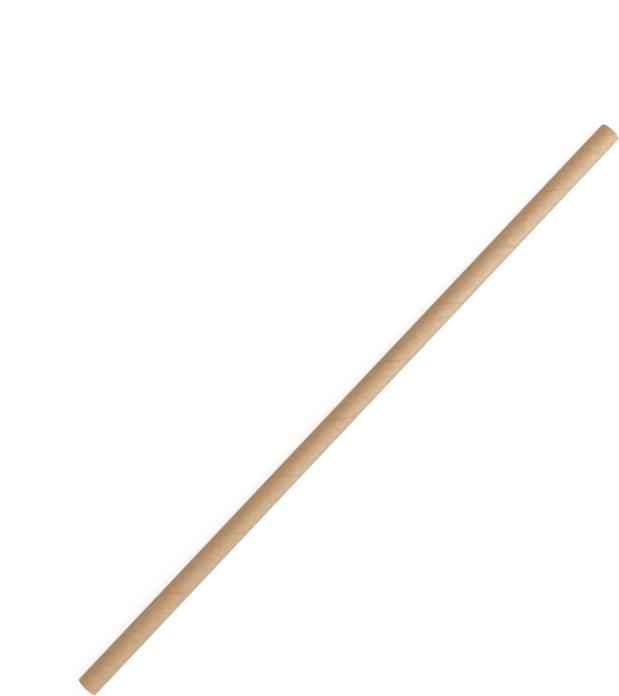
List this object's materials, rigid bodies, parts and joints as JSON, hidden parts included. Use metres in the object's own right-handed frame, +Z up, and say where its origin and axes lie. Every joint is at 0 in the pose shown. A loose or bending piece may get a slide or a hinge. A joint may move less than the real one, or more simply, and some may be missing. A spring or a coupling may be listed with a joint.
{
  "type": "paper drinking straw",
  "caption": "Straight spiral-wound kraft paper drinking straw: a thin-walled tube, open through its length, with a fine helical seam outside and another inside the bore.",
  "frame": {"origin": "on the table that the straw lies on, below the middle of its length", "axes": "+X along the straw, from either of its two like ends to the other; +Z up from the table; both seams are right-handed about X"},
  "size_m": [0.2, 0.006, 0.006],
  "materials": {
    "kraft_paper": "matte"
  },
  "bodies": {
    "root": {"straw_tube": "kraft_paper"}
  },
  "joints": []
}
